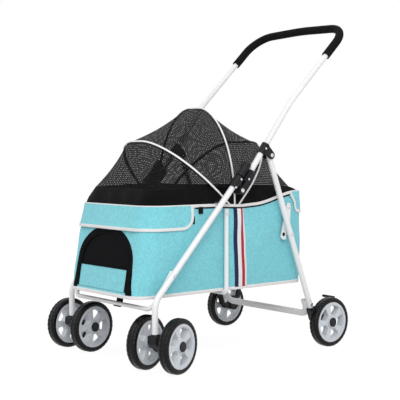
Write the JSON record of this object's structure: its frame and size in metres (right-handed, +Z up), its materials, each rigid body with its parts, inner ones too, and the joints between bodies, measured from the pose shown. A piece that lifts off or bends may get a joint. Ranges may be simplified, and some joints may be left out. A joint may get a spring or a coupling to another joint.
{
  "type": "pet stroller",
  "caption": "Folding pet stroller with a cyan fabric basket, black mesh canopy on hoops, a drop-down front door, white tube frame and swivelling twin front casters.",
  "frame": {"origin": "on the floor, under the middle of the stroller as it stands", "axes": "+Z up, the front faces -Y, the push handle is towards +Y, +X is the stroller's left"},
  "size_m": [0.5623, 0.828, 0.9974],
  "materials": {
    "white_tube": "gloss",
    "black_plastic": "satin",
    "steel": "satin",
    "grip_foam": "matt",
    "cyan_fabric": "matt",
    "black_fabric": "matt",
    "black_mesh": "matt",
    "white_spring": "gloss",
    "board": "matt",
    "mat": "matt",
    "tyre": "matt",
    "rim": "satin"
  },
  "bodies": {
    "rear_frame": {"rear_leg_left": "white_tube", "rear_leg_right": "white_tube", "rear_crossbar": "white_tube", "axle_block_left": "black_plastic", "axle_block_right": "black_plastic", "rear_axles": "steel", "rear_fasteners": "steel"},
    "handle": {"handle_tube": "white_tube", "handle_grip": "grip_foam", "hinge_housing_left": "black_plastic", "hinge_housing_right": "black_plastic", "upper_brackets": "black_plastic", "fold_pins": "steel", "rear_leg_pins": "steel"},
    "front_frame": {"front_leg_left": "white_tube", "front_leg_right": "white_tube", "leg_knuckle_left": "black_plastic", "leg_knuckle_right": "black_plastic", "front_crossbar": "white_tube", "caster_bushes": "black_plastic", "basket_fasteners": "steel", "rim_rail": "white_tube", "under_cradle": "white_tube", "rear_hooks": "white_tube", "basket": "cyan_fabric", "floor_board": "board", "floor_mat": "mat", "front_flap": "cyan_fabric", "rear_flap": "cyan_fabric", "canopy_band": "black_fabric", "hoop_rear": "white_spring", "hoop_pivots": "steel", "mesh_rear": "black_mesh", "mesh_back": "black_mesh"},
    "canopy_middle": {"hoop_middle": "white_spring", "mesh_top": "black_mesh"},
    "canopy_front": {"hoop_front": "white_spring", "mesh_front": "black_mesh"},
    "door": {"door_panel": "cyan_fabric"},
    "rear_wheel_left": {"rear_left_tyre": "tyre", "rear_left_rim": "rim"},
    "brake_left": {"brake_pedal_left": "black_plastic"},
    "lock_left": {"lock_slider_left": "black_plastic"},
    "caster_left": {"caster_fork_left": "black_plastic", "caster_axle_left": "steel"},
    "front_wheel_left_outer": {"front_left_outer_tyre": "tyre", "front_left_outer_rim": "rim"},
    "front_wheel_left_inner": {"front_left_inner_tyre": "tyre", "front_left_inner_rim": "rim"},
    "rear_wheel_right": {"rear_right_tyre": "tyre", "rear_right_rim": "rim"},
    "brake_right": {"brake_pedal_right": "black_plastic"},
    "lock_right": {"lock_slider_right": "black_plastic"},
    "caster_right": {"caster_fork_right": "black_plastic", "caster_axle_right": "steel"},
    "front_wheel_right_outer": {"front_right_outer_tyre": "tyre", "front_right_outer_rim": "rim"},
    "front_wheel_right_inner": {"front_right_inner_tyre": "tyre", "front_right_inner_rim": "rim"}
  },
  "joints": [
    {"name": "handle_fold", "type": "hinge", "parent": "rear_frame", "child": "handle", "pos_m": [0, 0.05824, 0.58138], "axis": [-1, 0, 0], "range_deg": [0, 105]},
    {"name": "front_fold", "type": "hinge", "parent": "handle", "child": "front_frame", "pos_m": [0, -0.0556, 0.482], "axis": [1, 0, 0], "range_deg": [0, 150]},
    {"name": "canopy_fold", "type": "hinge", "parent": "front_frame", "child": "canopy_middle", "pos_m": [0, -0.053, 0.421], "axis": [-1, 0, 0], "range_deg": [0, 34], "deforming": ["mesh_back"]},
    {"name": "canopy_front_fold", "type": "hinge", "parent": "canopy_middle", "child": "canopy_front", "pos_m": [0, -0.053, 0.421], "axis": [-1, 0, 0], "range_deg": [0, 38.5], "deforming": ["mesh_top"]},
    {"name": "door_drop", "type": "hinge", "parent": "front_frame", "child": "door", "pos_m": [0, -0.39187, 0.20942], "axis": [1, 0, 0], "range_deg": [0, 100]},
    {"name": "rear_wheel_left_spin", "type": "hinge", "parent": "rear_frame", "child": "rear_wheel_left", "pos_m": [0.238, 0.282, 0.075], "axis": [1, 0, 0], "continuous": true},
    {"name": "brake_left_press", "type": "hinge", "parent": "rear_frame", "child": "brake_left", "pos_m": [0.204, 0.302, 0.095], "axis": [-1, 0, 0], "range_deg": [0, 20]},
    {"name": "lock_left_slide", "type": "slide", "parent": "handle", "child": "lock_left", "axis": [0, 0.6184, 0.7859], "range_m": [0, 0.012], "stiffness_N_per_m": 120},
    {"name": "caster_left_swivel", "type": "hinge", "parent": "front_frame", "child": "caster_left", "pos_m": [0.204, -0.357, 0.106], "axis": [0, 0, 1], "continuous": true},
    {"name": "front_wheel_left_outer_spin", "type": "hinge", "parent": "caster_left", "child": "front_wheel_left_outer", "pos_m": [0.24593, -0.31222, 0.075], "axis": [0.9608, 0.2773, 0], "continuous": true},
    {"name": "front_wheel_left_inner_spin", "type": "hinge", "parent": "caster_left", "child": "front_wheel_left_inner", "pos_m": [0.14466, -0.34145, 0.075], "axis": [0.9608, 0.2773, 0], "continuous": true},
    {"name": "rear_wheel_right_spin", "type": "hinge", "parent": "rear_frame", "child": "rear_wheel_right", "pos_m": [-0.238, 0.282, 0.075], "axis": [1, 0, 0], "continuous": true},
    {"name": "brake_right_press", "type": "hinge", "parent": "rear_frame", "child": "brake_right", "pos_m": [-0.204, 0.302, 0.095], "axis": [-1, 0, 0], "range_deg": [0, 20]},
    {"name": "lock_right_slide", "type": "slide", "parent": "handle", "child": "lock_right", "axis": [0, 0.6184, 0.7859], "range_m": [0, 0.012], "stiffness_N_per_m": 120},
    {"name": "caster_right_swivel", "type": "hinge", "parent": "front_frame", "child": "caster_right", "pos_m": [-0.204, -0.357, 0.106], "axis": [0, 0, 1], "continuous": true},
    {"name": "front_wheel_right_outer_spin", "type": "hinge", "parent": "caster_right", "child": "front_wheel_right_outer", "pos_m": [-0.26031, -0.33265, 0.075], "axis": [0.9917, 0.1288, 0], "continuous": true},
    {"name": "front_wheel_right_inner_spin", "type": "hinge", "parent": "caster_right", "child": "front_wheel_right_inner", "pos_m": [-0.15578, -0.31907, 0.075], "axis": [0.9917, 0.1288, 0], "continuous": true}
  ],
  "couplings": [
    {"joint": "front_fold", "follows": "handle_fold", "ratio": 1.4285},
    {"joint": "canopy_front_fold", "follows": "canopy_fold", "ratio": 1.13}
  ]
}
